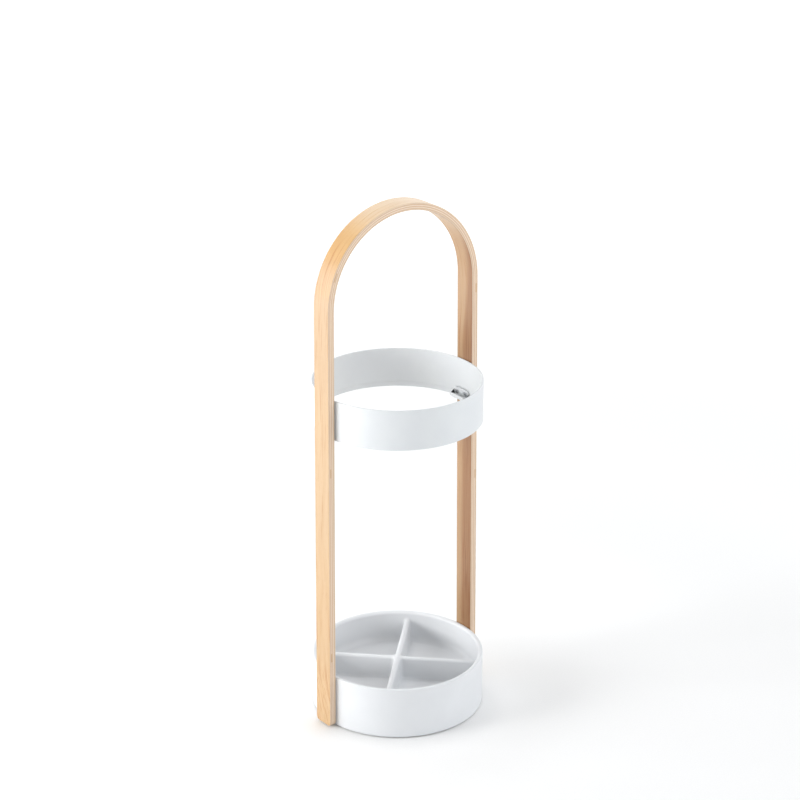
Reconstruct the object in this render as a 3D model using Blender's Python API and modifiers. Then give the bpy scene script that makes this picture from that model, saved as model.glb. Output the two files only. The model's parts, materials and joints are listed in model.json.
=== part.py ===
"""Umbrella stand: a bent plywood arch that holds a steel ring and a weighted tray with four pockets.

Metres, +Z up. The origin is on the floor under the middle of the tray. X runs from leg to leg, and Y
across the legs. Everything at the left leg is the right leg's copy, turned half way round about Z.
"""

import math

import bmesh
import bpy
from mathutils import Matrix

# Clearance between two pieces that touch, and between a fastener and its hole
GAP = 0.0003

# Arch: one strap of bent plywood
HEIGHT = 0.648
ARCH_RADIUS = 0.111
LEG_SPLAY = math.radians(0.42)
STRAP_WIDTH = 0.028
STRAP_THICKNESS = 0.0088
STRAP_EDGE_ROUNDING = 0.0007
FOOT_CORNER_ROUNDING = 0.005
LEG_BOTTOM = 0.001
ARCH_STEPS = 44

# Ring: a thin steel band, a little thinner along its inner lower edge
RING_RADIUS = 0.1027
RING_BOTTOM = 0.3785
RING_HEIGHT = 0.050
RING_WALL = 0.0017
RING_EDGE_ROUNDING = 0.0006
RING_RELIEF_HEIGHT = 0.0065
RING_RELIEF_DEPTH = 0.0005

# Hooks: an upturned tab inside the ring at each leg
HOOK_WIDTH = 0.027
HOOK_BOTTOM = RING_BOTTOM + GAP
HOOK_PLATE_TOP = 0.391
HOOK_PLATE_FACE = 0.0984
HOOK_LIP_FACE = 0.0910
HOOK_LIP_THICKNESS = 0.0020
HOOK_LIP_TOP = 0.3845
HOOK_SHELF_THICKNESS = 0.0020
HOOK_CORNER_ROUNDING = 0.003
HOOK_EDGE_ROUNDING = 0.0005

# Tray base: drum with a recessed floor, a hollow underside and a cross divider
BASE_RADIUS = 0.106
BASE_BOTTOM = 0.0015
BASE_TOP = 0.0666
BASE_WALL = 0.0060
TRAY_FLOOR = 0.028
TRAY_FLOOR_THICKNESS = 0.003
TRAY_FILLET = 0.008
TRAY_WALL_DRAFT = 0.0006
RIM_OUTER_ROUNDING = 0.0015
RIM_INNER_ROUNDING = 0.0035
BASE_BOTTOM_CHAMFER = 0.0008
BASE_CAVITY_RADIUS = 0.0995
SCREW_PAD_FACE = 0.0975
SCREW_PAD_WIDTH = 0.028
SCREW_PAD_BOTTOM = 0.006
SCREW_PAD_TOP = 0.019

DIVIDER_TOP = 0.0566
DIVIDER_TOP_HALF = 0.0035
DIVIDER_ROOT_HALF = 0.0042
DIVIDER_FILLET = 0.003
DIVIDER_HALF_LENGTH = 0.1025
DIVIDER_SUNK_DEPTH = 0.0015

# Ballast, cover and feet in and under the base
BALLAST_RADIUS = 0.080
BALLAST_BOTTOM = 0.014
BALLAST_BORE = 0.0075
BALLAST_CHAMFER = 0.001
BALLAST_BOSS_RADIUS = 0.007
BALLAST_BOSS_BOTTOM = 0.015
COVER_RADIUS = BASE_CAVITY_RADIUS - 0.0005
COVER_BOTTOM = 0.0020
COVER_TOP = 0.0045
COVER_CHAMFER = 0.0005
COVER_SCREW_CIRCLE = 0.088
COVER_BOSS_RADIUS = 0.0045
COVER_BOSS_DEPTH = 0.012
FOOT_RADIUS = 0.008
FOOT_HEIGHT = COVER_BOTTOM - GAP
FOOT_CIRCLE = 0.084
FOOT_CHAMFER = 0.0005

# Fasteners
LEG_SCREW_SPACING = 0.016
RING_SCREW_HEIGHT = 0.3862
RING_SCREW_LENGTH = 0.0104
BASE_SCREW_HEIGHT = 0.0125
BASE_SCREW_LENGTH = 0.0140
MACHINE_SHANK = 0.00195
SCREW_TIP = 0.0006
FLAT_HEAD_RADIUS = 0.0036
FLAT_HEAD_HEIGHT = 0.0019
FLAT_HEAD_RIM = 0.0003
BUTTON_HEAD_RADIUS = 0.0038
BUTTON_HEAD_HEIGHT = 0.0021
HEX_SOCKET = 0.00125
HEX_SOCKET_DEPTH = 0.0012
WASHER_RADIUS = 0.0045
WASHER_THICKNESS = 0.0010
BALLAST_WASHER_RADIUS = 0.012
BALLAST_SCREW_LENGTH = 0.0105
COVER_SHANK = 0.0014
COVER_HEAD_RADIUS = 0.0030
COVER_HEAD_HEIGHT = 0.0017
COVER_SCREW_LENGTH = 0.0115
INSERT_RADIUS = 0.0032
INSERT_LENGTH = 0.0065
INSERT_CHAMFER = 0.0005

ROUND_STEPS = 72
DISC_STEPS = 48
SMALL_STEPS = 16
FASTENER_STEPS = 12
MERGE_DISTANCE = 0.00001
# How far a cutter runs past the face that it cuts, and how far a joined piece runs into its neighbour
OVERRUN = 0.003
OVERLAP = 0.001

SIDES = {"right": 0.0, "left": math.pi}
ROWS = {"front": -LEG_SCREW_SPACING / 2, "back": LEG_SCREW_SPACING / 2}
QUARTERS = [math.radians(45 + 90 * k) for k in range(4)]


def clear_scene():
    for thing in list(bpy.data.objects):
        bpy.data.objects.remove(thing, do_unlink=True)


def new_collection(name):
    group = bpy.data.collections.new(name)
    bpy.context.scene.collection.children.link(group)
    return group


def new_material(name, colour, roughness, metallic=0.0):
    material = bpy.data.materials.new(name)
    material.use_nodes = True
    shader = material.node_tree.nodes["Principled BSDF"]
    shader.inputs["Base Color"].default_value = (*colour, 1.0)
    shader.inputs["Roughness"].default_value = roughness
    shader.inputs["Metallic"].default_value = metallic
    return material


def leg_outer(height):
    """Distance of a leg's outer face from the middle plane, at a height below the bend."""
    spring = HEIGHT - ARCH_RADIUS
    return ARCH_RADIUS + (spring - height) * math.tan(LEG_SPLAY)


def leg_inner(height):
    return leg_outer(height) - STRAP_THICKNESS


def arc(centre_x, centre_z, radius, start, end, steps):
    """Points of an arc in the XZ plane, with its angles in degrees."""
    points = []
    for step in range(steps + 1):
        angle = math.radians(start + (end - start) * step / steps)
        points.append((centre_x + radius * math.cos(angle), centre_z + radius * math.sin(angle)))
    return points


class Workshop:
    """Holds the two collections and the parent empty, and turns meshes into placed objects."""

    def __init__(self):
        self.parts = new_collection("umbrella_stand")
        self.cutters = new_collection("cutters")
        self.frame = bpy.data.objects.new("umbrella_stand_frame", None)
        self.parts.objects.link(self.frame)

    def part(self, name, mesh, material, location=(0, 0, 0), rotation=(0, 0, 0)):
        thing = bpy.data.objects.new(name, mesh)
        if not mesh.materials:
            mesh.materials.append(material)
        thing.location = location
        thing.rotation_euler = rotation
        thing.parent = self.frame
        self.parts.objects.link(thing)
        return thing

    def cutter(self, name, mesh, location=(0, 0, 0), rotation=(0, 0, 0)):
        thing = bpy.data.objects.new(name, mesh)
        thing.location = location
        thing.rotation_euler = rotation
        thing.hide_render = True
        thing.display_type = "WIRE"
        self.cutters.objects.link(thing)
        return thing


def mesh_from(bm, name):
    mesh = bpy.data.meshes.new(name)
    bmesh.ops.recalc_face_normals(bm, faces=bm.faces)
    bm.to_mesh(mesh)
    bm.free()
    return mesh


def profile_mesh(name, points, closed):
    """A line of edges in the XZ plane, for a Screw modifier to turn."""
    mesh = bpy.data.meshes.new(name)
    edges = [(i, i + 1) for i in range(len(points) - 1)]
    if closed:
        edges.append((len(points) - 1, 0))
    mesh.from_pydata([(x, 0, z) for x, z in points], edges, [])
    return mesh


def turn(thing, steps):
    """Turns a profile about the object's Z axis."""
    screw = thing.modifiers.new("turn", "SCREW")
    screw.axis = "Z"
    screw.angle = 2 * math.pi
    screw.steps = steps
    screw.render_steps = steps
    screw.use_merge_vertices = True
    screw.merge_threshold = MERGE_DISTANCE
    screw.use_smooth_shade = True


def boolean(thing, other, operation="DIFFERENCE"):
    modifier = thing.modifiers.new(other.name, "BOOLEAN")
    modifier.operation = operation
    modifier.solver = "EXACT"
    modifier.object = other


def bevel(thing, width, segments, angle=40):
    modifier = thing.modifiers.new("rounded_edges", "BEVEL")
    modifier.width = width
    modifier.segments = segments
    modifier.limit_method = "ANGLE"
    modifier.angle_limit = math.radians(angle)


def add_cylinder(bm, radius, low, high, matrix, segments=SMALL_STEPS):
    """A closed cylinder from low to high along the matrix's Z axis."""
    placed = matrix @ Matrix.Translation((0, 0, (low + high) / 2))
    bmesh.ops.create_cone(
        bm, cap_ends=True, segments=segments, radius1=radius, radius2=radius,
        depth=high - low, matrix=placed,
    )


def add_box(bm, low, high, matrix=Matrix()):
    """A closed box between two corners."""
    size = [b - a for a, b in zip(low, high)]
    centre = [(a + b) / 2 for a, b in zip(low, high)]
    placed = matrix @ Matrix.Translation(centre) @ Matrix.Diagonal((*size, 1))
    bmesh.ops.create_cube(bm, size=1.0, matrix=placed)


def side_turn(angle):
    return Matrix.Rotation(angle, 4, "Z")


def across(angle, y, z):
    """A frame whose Z axis points from the stand's middle out to a leg, at height z and offset y."""
    return side_turn(angle) @ Matrix.Translation((0, y, z)) @ Matrix.Rotation(math.pi / 2, 4, "Y")


def strap_path():
    """The strap's outer line from the left foot over the top to the right foot."""
    centre = HEIGHT - ARCH_RADIUS
    splay = math.degrees(LEG_SPLAY)
    bend = arc(0, centre, ARCH_RADIUS, 180 - splay, splay, ARCH_STEPS)
    left_foot = (-leg_outer(LEG_BOTTOM), LEG_BOTTOM)
    right_foot = (leg_outer(LEG_BOTTOM), LEG_BOTTOM)
    return [left_foot, *bend, right_foot]


def make_arch(shop, wood):
    bm = bmesh.new()
    front = [bm.verts.new((x, -STRAP_WIDTH / 2, z)) for x, z in strap_path()]
    edges = [bm.edges.new(pair) for pair in zip(front, front[1:])]
    grown = bmesh.ops.extrude_edge_only(bm, edges=edges)["geom"]
    back = [item for item in grown if isinstance(item, bmesh.types.BMVert)]
    bmesh.ops.translate(bm, verts=back, vec=(0, STRAP_WIDTH, 0))
    corners = [vert for vert in bm.verts if len(vert.link_edges) == 2]
    bmesh.ops.bevel(bm, geom=corners, offset=FOOT_CORNER_ROUNDING, segments=5, affect="VERTICES")
    arch = shop.part("bentwood_arch", mesh_from(bm, "bentwood_arch"), wood)

    thickness = arch.modifiers.new("thickness", "SOLIDIFY")
    thickness.thickness = STRAP_THICKNESS
    thickness.offset = -1
    thickness.use_even_offset = True
    bevel(arch, STRAP_EDGE_ROUNDING, 2)

    pockets = bmesh.new()
    for angle in SIDES.values():
        for y in ROWS.values():
            for height in (RING_SCREW_HEIGHT, BASE_SCREW_HEIGHT):
                mouth = leg_inner(height)
                depth = INSERT_LENGTH + 2 * GAP
                add_cylinder(
                    pockets, INSERT_RADIUS + GAP, mouth - OVERRUN, mouth + depth,
                    across(angle, y, height),
                )
    boolean(arch, shop.cutter("insert_pockets", mesh_from(pockets, "insert_pockets")))


def ring_profile():
    """Outer side top to bottom, then up the inner side."""
    inner = RING_RADIUS - RING_WALL
    top = RING_HEIGHT
    r = RING_EDGE_ROUNDING
    outer_top = arc(RING_RADIUS - r, top - r, r, 90, 0, 2)
    outer_bottom = arc(RING_RADIUS - r, r, r, 0, -90, 2)
    relief = [(inner + RING_RELIEF_DEPTH, 0), (inner, RING_RELIEF_HEIGHT)]
    inner_top = arc(inner + r, top - r, r, 180, 90, 2)
    return [*outer_top, *outer_bottom, *relief, *inner_top]


def make_ring(shop, paint):
    mesh = profile_mesh("support_ring", ring_profile(), closed=True)
    ring = shop.part("support_ring", mesh, paint, location=(0, 0, RING_BOTTOM))
    turn(ring, ROUND_STEPS)
    holes = bmesh.new()
    for angle in SIDES.values():
        for y in ROWS.values():
            add_cylinder(
                holes, MACHINE_SHANK + GAP, HOOK_PLATE_FACE - OVERRUN, RING_RADIUS + OVERRUN,
                across(angle, y, RING_SCREW_HEIGHT),
            )
    boolean(ring, shop.cutter("ring_screw_holes", mesh_from(holes, "ring_screw_holes")))


def hook_outline():
    """The hook's section in the XZ plane: plate, shelf and upturned lip."""
    back = RING_RADIUS
    lip_back = HOOK_LIP_FACE + HOOK_LIP_THICKNESS
    shelf = HOOK_BOTTOM + HOOK_SHELF_THICKNESS
    bend = HOOK_LIP_THICKNESS
    lip_bend = arc(HOOK_LIP_FACE + bend, HOOK_BOTTOM + bend, bend, 270, 180, 3)
    return [
        (back, HOOK_BOTTOM),
        *lip_bend,
        (HOOK_LIP_FACE, HOOK_LIP_TOP),
        (lip_back, HOOK_LIP_TOP),
        (lip_back, shelf),
        (HOOK_PLATE_FACE, shelf),
        (HOOK_PLATE_FACE, HOOK_PLATE_TOP),
        (back, HOOK_PLATE_TOP),
    ]


def extruded(name, outline, width):
    """A flat outline in the XZ plane, made a solid of that width along Y."""
    bm = bmesh.new()
    rim = [bm.verts.new((x, -width / 2, z)) for x, z in outline]
    face = bm.faces.new(rim)
    grown = bmesh.ops.extrude_face_region(bm, geom=[face])["geom"]
    far = [item for item in grown if isinstance(item, bmesh.types.BMVert)]
    bmesh.ops.translate(bm, verts=far, vec=(0, width, 0))
    return bm


def make_hook_mesh():
    bm = extruded("hook", hook_outline(), HOOK_WIDTH)
    tops = (HOOK_LIP_TOP, HOOK_PLATE_TOP)
    rounded = []
    for edge in bm.edges:
        a, b = (vert.co for vert in edge.verts)
        level = any(abs(a.z - top) < MERGE_DISTANCE and abs(b.z - top) < MERGE_DISTANCE for top in tops)
        if level and abs(a.y - b.y) < MERGE_DISTANCE:
            rounded.append(edge)
    bmesh.ops.bevel(bm, geom=rounded, offset=HOOK_CORNER_ROUNDING, segments=3, affect="EDGES")
    return mesh_from(bm, "hook")


def flat_head_profile(head, height, shank, length, clearance=0.0):
    """Countersunk screw with its head's face at the origin and its shank down -Z, or its hole."""
    return [
        (0, clearance * 2),
        (head + clearance, clearance * 2),
        (head + clearance, -FLAT_HEAD_RIM),
        (shank + clearance, -height),
        (shank + clearance, -length + SCREW_TIP),
        (shank + clearance - SCREW_TIP, -length),
        (0, -length),
    ]


def button_head_profile(head, height, shank, length):
    """Button-head screw with the underside of its head at the origin and its shank down -Z."""
    return [
        (0, height),
        (head * 0.55, height),
        (head * 0.88, height * 0.6),
        (head, 0),
        (shank, 0),
        (shank, -length + SCREW_TIP),
        (shank - SCREW_TIP, -length),
        (0, -length),
    ]


def make_hooks(shop, paint):
    mesh = make_hook_mesh()
    for side, angle in SIDES.items():
        hook = shop.part(f"hook_{side}", mesh, paint, rotation=(0, 0, angle))
        bevel(hook, HOOK_EDGE_ROUNDING, 1)

        bore = bmesh.new()
        add_cylinder(
            bore, RING_RADIUS - RING_WALL - GAP, HOOK_BOTTOM - OVERRUN, HOOK_PLATE_TOP + OVERRUN,
            side_turn(angle), ROUND_STEPS,
        )
        seat = shop.cutter(f"hook_{side}_seat", mesh_from(bore, f"hook_{side}_seat"))
        boolean(hook, seat, "INTERSECT")

        for row, y in ROWS.items():
            profile = flat_head_profile(
                FLAT_HEAD_RADIUS, FLAT_HEAD_HEIGHT, MACHINE_SHANK, RING_SCREW_LENGTH, GAP
            )
            name = f"hook_{side}_{row}_hole"
            place = side_turn(angle) @ Matrix.Translation((HOOK_PLATE_FACE, y, RING_SCREW_HEIGHT))
            hole = shop.cutter(
                name, profile_mesh(name, profile, closed=False),
                location=place.to_translation(), rotation=(0, -math.pi / 2, angle),
            )
            turn(hole, SMALL_STEPS)
            boolean(hook, hole)


def tray_profile():
    """From the middle of the tray floor up the inside, over the rim, down the outside and under."""
    inner = BASE_RADIUS - BASE_WALL
    foot = inner - TRAY_WALL_DRAFT
    rim_outer = RIM_OUTER_ROUNDING
    rim_inner = RIM_INNER_ROUNDING
    underside = TRAY_FLOOR - TRAY_FLOOR_THICKNESS
    fillet = arc(foot - TRAY_FILLET, TRAY_FLOOR + TRAY_FILLET, TRAY_FILLET, 270, 360, 4)
    rim_in = arc(inner + rim_inner, BASE_TOP - rim_inner, rim_inner, 180, 90, 3)
    rim_out = arc(BASE_RADIUS - rim_outer, BASE_TOP - rim_outer, rim_outer, 90, 0, 2)
    return [
        (0, TRAY_FLOOR),
        *fillet,
        *rim_in,
        *rim_out,
        (BASE_RADIUS, BASE_BOTTOM + BASE_BOTTOM_CHAMFER),
        (BASE_RADIUS - BASE_BOTTOM_CHAMFER, BASE_BOTTOM),
        (BASE_CAVITY_RADIUS, BASE_BOTTOM),
        (BASE_CAVITY_RADIUS, underside),
        (0, underside),
    ]


def divider_outline():
    """Section of one divider bar: fillets at the root, drafted sides and a round top."""
    low = TRAY_FLOOR - DIVIDER_SUNK_DEPTH
    root = TRAY_FLOOR - MERGE_DISTANCE * 10
    side = DIVIDER_ROOT_HALF + DIVIDER_FILLET
    crown = DIVIDER_TOP - DIVIDER_TOP_HALF
    right_fillet = arc(side, root + DIVIDER_FILLET, DIVIDER_FILLET, 270, 180, 3)
    left_fillet = [(-x, z) for x, z in reversed(right_fillet)]
    crown_arc = arc(0, crown, DIVIDER_TOP_HALF, 0, 180, 6)
    return [(-side, low), (side, low), *right_fillet, *crown_arc, *left_fillet]


def make_tray(shop, moulding):
    tray = shop.part("tray_base", profile_mesh("tray_base", tray_profile(), closed=False), moulding)
    turn(tray, ROUND_STEPS)

    for number, angle in enumerate(QUARTERS[:2], start=1):
        name = f"divider_bar_{number}"
        bm = extruded(name, divider_outline(), 2 * DIVIDER_HALF_LENGTH)
        bar = shop.cutter(name, mesh_from(bm, name), rotation=(0, 0, angle))
        boolean(tray, bar, "UNION")

    underside = TRAY_FLOOR - TRAY_FLOOR_THICKNESS
    inside_floor = underside + OVERLAP
    bosses = bmesh.new()
    add_cylinder(bosses, BALLAST_BOSS_RADIUS, BALLAST_BOSS_BOTTOM, inside_floor, Matrix())
    for angle in QUARTERS:
        place = side_turn(angle) @ Matrix.Translation((COVER_SCREW_CIRCLE, 0, 0))
        add_cylinder(bosses, COVER_BOSS_RADIUS, COVER_TOP + GAP, inside_floor, place)
    for angle in SIDES.values():
        low = (SCREW_PAD_FACE, -SCREW_PAD_WIDTH / 2, SCREW_PAD_BOTTOM)
        high = (BASE_CAVITY_RADIUS + 2 * OVERLAP, SCREW_PAD_WIDTH / 2, SCREW_PAD_TOP)
        add_box(bosses, low, high, side_turn(angle))
    boolean(tray, shop.cutter("bosses", mesh_from(bosses, "bosses")), "UNION")

    holes = bmesh.new()
    add_cylinder(
        holes, MACHINE_SHANK + GAP, BALLAST_BOSS_BOTTOM - OVERRUN, underside - OVERLAP, Matrix()
    )
    for angle in QUARTERS:
        place = side_turn(angle) @ Matrix.Translation((COVER_SCREW_CIRCLE, 0, 0))
        add_cylinder(holes, COVER_SHANK + GAP, COVER_TOP - OVERLAP, COVER_TOP + COVER_BOSS_DEPTH, place)
    for angle in SIDES.values():
        for y in ROWS.values():
            add_cylinder(
                holes, MACHINE_SHANK + GAP, SCREW_PAD_FACE - OVERRUN, BASE_RADIUS + OVERRUN,
                across(angle, y, BASE_SCREW_HEIGHT),
            )
    boolean(tray, shop.cutter("base_holes", mesh_from(holes, "base_holes")))

    flats = bmesh.new()
    for angle in SIDES.values():
        lean = Matrix.Translation((leg_inner(0) - GAP, 0, 0)) @ Matrix.Rotation(-LEG_SPLAY, 4, "Y")
        low = (0, -STRAP_WIDTH / 2, -OVERRUN)
        high = (2 * STRAP_THICKNESS, STRAP_WIDTH / 2, BASE_TOP + OVERRUN)
        add_box(flats, low, high, side_turn(angle) @ lean)
    boolean(tray, shop.cutter("leg_flats", mesh_from(flats, "leg_flats")))


def washer_mesh(name, radius, thickness):
    """A flat washer standing on its object's XY plane."""
    hole = MACHINE_SHANK + GAP
    outline = [(hole, thickness), (radius, thickness), (radius, 0), (hole, 0)]
    return profile_mesh(name, outline, closed=True)


def add_socket(shop, screw, top, name):
    """Cuts a hexagon socket into a screw's head, down from its top face."""
    bm = bmesh.new()
    add_cylinder(bm, HEX_SOCKET, top - HEX_SOCKET_DEPTH, top + OVERRUN, Matrix(), segments=6)
    cutter = shop.cutter(name, mesh_from(bm, name))
    cutter.location = screw.location
    cutter.rotation_euler = screw.rotation_euler
    boolean(screw, cutter)


def make_leg_fasteners(shop, steel, brass):
    ring_screw = profile_mesh(
        "ring_screw",
        flat_head_profile(FLAT_HEAD_RADIUS, FLAT_HEAD_HEIGHT, MACHINE_SHANK, RING_SCREW_LENGTH),
        closed=False,
    )
    base_screw = profile_mesh(
        "base_screw",
        button_head_profile(BUTTON_HEAD_RADIUS, BUTTON_HEAD_HEIGHT, MACHINE_SHANK, BASE_SCREW_LENGTH),
        closed=False,
    )
    washer = washer_mesh("base_washer", WASHER_RADIUS, WASHER_THICKNESS)
    bore = MACHINE_SHANK + GAP
    insert = profile_mesh(
        "insert",
        [
            (INSERT_RADIUS, -INSERT_CHAMFER),
            (INSERT_RADIUS, -INSERT_LENGTH + INSERT_CHAMFER),
            (INSERT_RADIUS - INSERT_CHAMFER, -INSERT_LENGTH),
            (bore, -INSERT_LENGTH),
            (bore, 0),
            (INSERT_RADIUS - INSERT_CHAMFER, 0),
        ],
        closed=True,
    )
    washer_back = SCREW_PAD_FACE - GAP
    head_back = washer_back - WASHER_THICKNESS - GAP
    stacks = {
        "ring_screw": (ring_screw, steel, HOOK_PLATE_FACE, RING_SCREW_HEIGHT),
        "base_screw": (base_screw, steel, head_back, BASE_SCREW_HEIGHT),
        "base_washer": (washer, steel, washer_back, BASE_SCREW_HEIGHT),
        "ring_insert": (insert, brass, leg_inner(RING_SCREW_HEIGHT) + GAP, RING_SCREW_HEIGHT),
        "base_insert": (insert, brass, leg_inner(BASE_SCREW_HEIGHT) + GAP, BASE_SCREW_HEIGHT),
    }
    for side, angle in SIDES.items():
        inward = (0, -math.pi / 2, angle)
        for row, y in ROWS.items():
            for kind, (mesh, material, x, z) in stacks.items():
                name = f"{kind}_{side}_{row}"
                place = side_turn(angle) @ Matrix.Translation((x, y, z))
                piece = shop.part(name, mesh, material, place.to_translation(), inward)
                turn(piece, FASTENER_STEPS if "screw" in kind else SMALL_STEPS)
                if kind == "ring_screw":
                    add_socket(shop, piece, 0, f"{name}_socket")
                if kind == "base_screw":
                    add_socket(shop, piece, BUTTON_HEAD_HEIGHT, f"{name}_socket")


def make_ballast(shop, iron, steel):
    top = TRAY_FLOOR - TRAY_FLOOR_THICKNESS - GAP
    outline = [
        (BALLAST_BORE, top),
        (BALLAST_RADIUS - BALLAST_CHAMFER, top),
        (BALLAST_RADIUS, top - BALLAST_CHAMFER),
        (BALLAST_RADIUS, BALLAST_BOTTOM + BALLAST_CHAMFER),
        (BALLAST_RADIUS - BALLAST_CHAMFER, BALLAST_BOTTOM),
        (BALLAST_BORE, BALLAST_BOTTOM),
    ]
    disc = shop.part("ballast_disc", profile_mesh("ballast_disc", outline, closed=True), iron)
    turn(disc, DISC_STEPS)

    washer = washer_mesh("ballast_washer", BALLAST_WASHER_RADIUS, WASHER_THICKNESS)
    washer_bottom = BALLAST_BOTTOM - GAP - WASHER_THICKNESS
    turn(shop.part("ballast_washer", washer, steel, (0, 0, washer_bottom)), SMALL_STEPS)

    profile = button_head_profile(
        BUTTON_HEAD_RADIUS, BUTTON_HEAD_HEIGHT, MACHINE_SHANK, BALLAST_SCREW_LENGTH
    )
    mesh = profile_mesh("ballast_screw", profile, closed=False)
    down = (math.pi, 0, 0)
    screw = shop.part("ballast_screw", mesh, steel, (0, 0, washer_bottom - GAP), down)
    turn(screw, FASTENER_STEPS)
    add_socket(shop, screw, BUTTON_HEAD_HEIGHT, "ballast_screw_socket")


def make_cover(shop, plastic, steel):
    outline = [
        (0, COVER_TOP),
        (COVER_RADIUS - COVER_CHAMFER, COVER_TOP),
        (COVER_RADIUS, COVER_TOP - COVER_CHAMFER),
        (COVER_RADIUS, COVER_BOTTOM + COVER_CHAMFER),
        (COVER_RADIUS - COVER_CHAMFER, COVER_BOTTOM),
        (0, COVER_BOTTOM),
    ]
    cover = shop.part("bottom_cover", profile_mesh("bottom_cover", outline, closed=False), plastic)
    turn(cover, DISC_STEPS)

    down = (math.pi, 0, 0)
    sizes = (COVER_HEAD_RADIUS, COVER_HEAD_HEIGHT, COVER_SHANK, COVER_SCREW_LENGTH)
    screw_mesh = profile_mesh("cover_screw", flat_head_profile(*sizes), closed=False)
    hole_mesh = profile_mesh("cover_hole", flat_head_profile(*sizes, GAP), closed=False)
    for number, angle in enumerate(QUARTERS, start=1):
        x = COVER_SCREW_CIRCLE * math.cos(angle)
        y = COVER_SCREW_CIRCLE * math.sin(angle)
        hole = shop.cutter(f"cover_hole_{number}", hole_mesh, (x, y, COVER_BOTTOM), down)
        turn(hole, SMALL_STEPS)
        boolean(cover, hole)
        screw = shop.part(f"cover_screw_{number}", screw_mesh, steel, (x, y, COVER_BOTTOM), down)
        turn(screw, FASTENER_STEPS)
        add_socket(shop, screw, 0, f"cover_screw_{number}_socket")


def make_feet(shop, rubber):
    outline = [
        (0, FOOT_HEIGHT),
        (FOOT_RADIUS, FOOT_HEIGHT),
        (FOOT_RADIUS, FOOT_CHAMFER),
        (FOOT_RADIUS - FOOT_CHAMFER, 0),
        (0, 0),
    ]
    mesh = profile_mesh("foot_pad", outline, closed=False)
    for number in range(4):
        angle = math.radians(90 * number)
        place = (FOOT_CIRCLE * math.cos(angle), FOOT_CIRCLE * math.sin(angle), 0)
        turn(shop.part(f"foot_pad_{number + 1}", mesh, rubber, place), SMALL_STEPS)


def main():
    clear_scene()
    shop = Workshop()
    wood = new_material("birch_plywood", (0.86, 0.66, 0.43), 0.5)
    paint = new_material("white_powder_coat", (0.86, 0.87, 0.89), 0.45)
    moulding = new_material("white_moulding", (0.84, 0.85, 0.88), 0.5)
    cover_plastic = new_material("grey_plastic", (0.35, 0.36, 0.38), 0.6)
    steel = new_material("zinc_plated_steel", (0.72, 0.72, 0.70), 0.35, 1.0)
    brass = new_material("brass", (0.80, 0.62, 0.30), 0.35, 1.0)
    iron = new_material("cast_iron", (0.20, 0.20, 0.21), 0.7, 1.0)
    rubber = new_material("rubber", (0.06, 0.06, 0.06), 0.9)

    make_arch(shop, wood)
    make_ring(shop, paint)
    make_hooks(shop, paint)
    make_tray(shop, moulding)
    make_leg_fasteners(shop, steel, brass)
    make_ballast(shop, iron, steel)
    make_cover(shop, cover_plastic, steel)
    make_feet(shop, rubber)


main()
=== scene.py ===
"""Looks of the umbrella stand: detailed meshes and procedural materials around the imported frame.

Metres, +Z up, in the frame's own coordinates. The arch, ring, hooks and tray get fine meshes here. The
fasteners, ballast, cover and foot pads keep their CAD meshes and get materials.
"""

import json
import math

import bmesh
import bpy
import numpy as np
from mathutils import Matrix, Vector


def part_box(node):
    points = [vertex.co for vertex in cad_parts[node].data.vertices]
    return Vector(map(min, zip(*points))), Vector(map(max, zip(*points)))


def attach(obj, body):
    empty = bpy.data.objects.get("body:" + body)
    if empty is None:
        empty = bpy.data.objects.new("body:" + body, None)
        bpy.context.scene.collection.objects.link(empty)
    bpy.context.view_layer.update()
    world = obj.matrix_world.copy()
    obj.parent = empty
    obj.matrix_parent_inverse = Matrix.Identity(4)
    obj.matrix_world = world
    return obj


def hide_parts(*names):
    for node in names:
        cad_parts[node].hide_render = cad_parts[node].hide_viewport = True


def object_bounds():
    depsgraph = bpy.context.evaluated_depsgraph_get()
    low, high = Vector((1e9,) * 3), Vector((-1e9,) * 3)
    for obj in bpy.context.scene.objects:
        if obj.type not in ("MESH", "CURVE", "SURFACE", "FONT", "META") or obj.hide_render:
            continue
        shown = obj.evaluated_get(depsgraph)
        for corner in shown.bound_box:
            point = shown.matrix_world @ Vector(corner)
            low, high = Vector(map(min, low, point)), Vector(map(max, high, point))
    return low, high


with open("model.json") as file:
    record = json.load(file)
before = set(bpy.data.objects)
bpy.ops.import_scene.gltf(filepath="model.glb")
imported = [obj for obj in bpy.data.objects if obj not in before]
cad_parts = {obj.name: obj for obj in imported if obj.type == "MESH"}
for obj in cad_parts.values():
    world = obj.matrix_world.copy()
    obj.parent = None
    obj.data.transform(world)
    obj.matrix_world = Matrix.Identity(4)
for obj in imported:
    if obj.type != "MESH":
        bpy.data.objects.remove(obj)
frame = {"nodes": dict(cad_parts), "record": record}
cad_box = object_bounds()

GAP = 0.0003
MM = 1000.0

# Strap of bent plywood; its height, reach and width come from the frame
STRAP_THICKNESS = 0.0088
ARCH_RADIUS = 0.111
PLIES = 7
PLY = STRAP_THICKNESS / PLIES
EDGE_ROUNDING = 0.0008
FOOT_ROUNDING = 0.005
FACE_MARGIN = 0.0004
GLUE_GROOVE_HALF = 0.00009
GLUE_GROOVE_DEPTH = 0.00006

# Ring and hooks
RING_WALL = 0.0017
RING_RIM = 0.0007
RING_RELIEF_HEIGHT = 0.0065
RING_RELIEF_DEPTH = 0.0005
RELIEF_GROOVE = 0.0003
RELIEF_STEP = 0.0001
HOOK_SHEET = 0.0020
HOOK_CORNER = 0.003
HOOK_EDGE = 0.0004
HOOK_FACE = 0.0984
HOOK_LIP_TOP = 0.3845
RING_SCREW_HEIGHT = 0.3862
SCREW_ROW = 0.008
SCREW_HEAD = 0.0038
SCREW_HOLE = 0.0021
SCREW_HOLE_LENGTH = 0.006
SCREW_HEAD_SINK = 0.0003
CUTTER_LEAD = 0.001

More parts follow.
